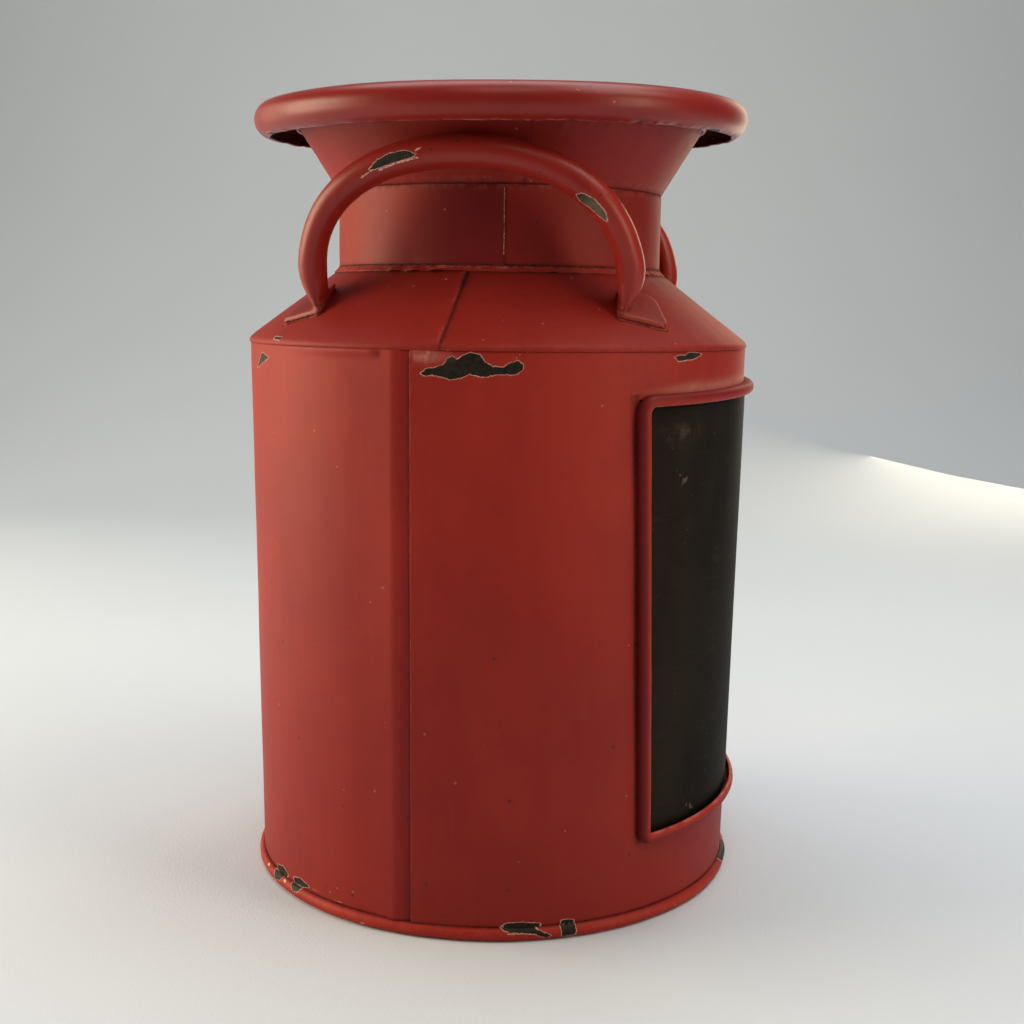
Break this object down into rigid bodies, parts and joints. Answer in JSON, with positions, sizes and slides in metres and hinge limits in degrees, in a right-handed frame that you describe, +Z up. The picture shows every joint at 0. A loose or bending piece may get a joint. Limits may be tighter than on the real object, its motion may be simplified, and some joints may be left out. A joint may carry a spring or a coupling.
{
  "type": "milk can",
  "caption": "Painted sheet-metal milk can with a necked, flared mouth, rolled rim, arched side handles and a framed chalkboard let into the front.",
  "frame": {"origin": "on the can's axis at the level it stands on", "axes": "+Z up the can's axis, out of the mouth; -Y is the front, which carries the chalkboard; the left handle is on the -X side and the right handle on the +X side"},
  "size_m": [0.201, 0.2042, 0.3057],
  "materials": {
    "red_paint": "satin barn-red enamel, chipped to dark metal at the edges",
    "chalkboard_black": "matt blackboard paint with faint chalk marks"
  },
  "bodies": {
    "root": {"base_pan": "red_paint", "body_wall": "red_paint", "shoulder_cone": "red_paint", "neck_band": "red_paint", "neck_solder_seam": "red_paint", "flare_cone": "red_paint", "rim_roll": "red_paint", "left_handle": "red_paint", "right_handle": "red_paint", "left_handle_solder": "red_paint", "right_handle_solder": "red_paint", "panel_frame": "red_paint", "chalkboard_panel": "chalkboard_black"}
  },
  "joints": []
}
